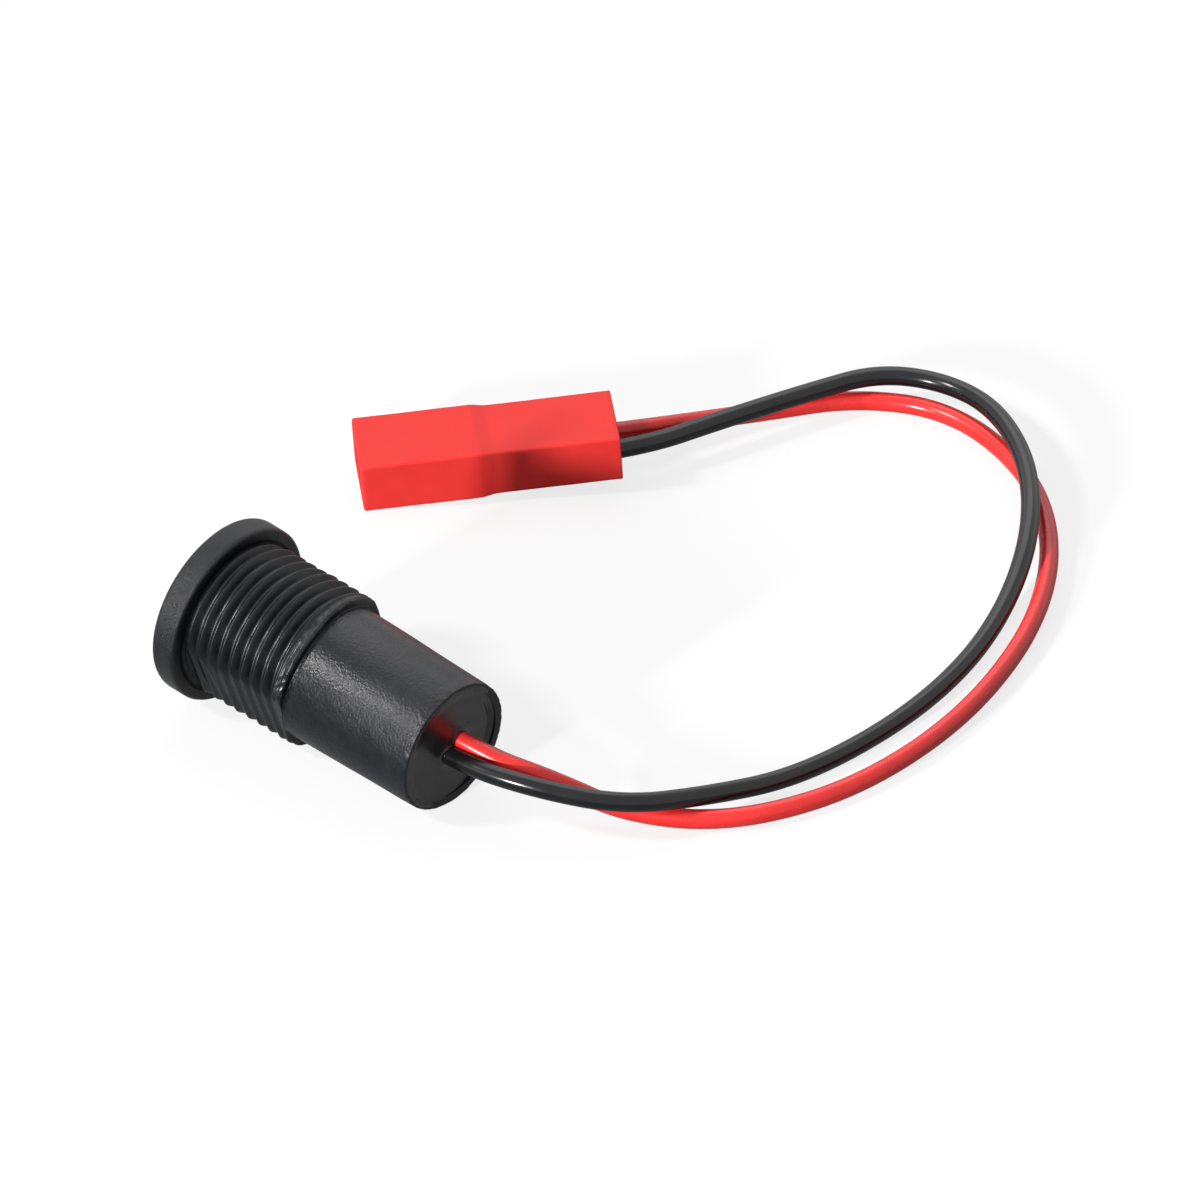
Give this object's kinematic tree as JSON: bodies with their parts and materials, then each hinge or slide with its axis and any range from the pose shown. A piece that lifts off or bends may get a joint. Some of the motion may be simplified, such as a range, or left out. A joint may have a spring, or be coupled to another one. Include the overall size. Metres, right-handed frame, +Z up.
{
  "type": "charging port",
  "caption": "Panel-mount charging socket with a flanged, threaded barrel, a potted rear end and a red and a black lead to a small red plug connector.",
  "frame": {"origin": "on the table plane, centred under the housing, which lies on its side; the leads and the connector are not counted", "axes": "+Z up from the table; +X along the housing from its flange towards the end that the leads leave, over a dip of about 5 degrees; +Y towards the side where the leads loop back"},
  "size_m": [0.0576, 0.0708, 0.0141],
  "materials": {
    "housing_plastic": "satin black moulding, spark-eroded grain on the flange rim, fine leathery grain on the barrel",
    "carrier_plastic": "plain black insulating moulding",
    "pin_metal": "turned brass, nickel plated",
    "tag_metal": "stamped strip, tin plated",
    "resin": "glossy black casting resin",
    "solder": "dull bright solder",
    "conductor": "tinned copper strands",
    "red_insulation": "satin red wire insulation",
    "black_insulation": "satin black wire insulation",
    "contact_metal": "stamped and rolled strip, tin plated",
    "connector_plastic": "satin red moulding"
  },
  "bodies": {
    "root": {"housing": "housing_plastic", "contact_carrier": "carrier_plastic", "centre_pin": "pin_metal", "pin_terminal": "tag_metal", "sleeve_spring": "tag_metal", "resin_plug": "resin", "red_solder_joint": "solder", "black_solder_joint": "solder", "red_conductor_port_end": "conductor", "black_conductor_port_end": "conductor", "red_wire": "red_insulation", "black_wire": "black_insulation", "red_conductor_plug_end": "conductor", "black_conductor_plug_end": "conductor", "red_crimp_contact": "contact_metal", "black_crimp_contact": "contact_metal", "connector_housing": "connector_plastic"}
  },
  "joints": []
}
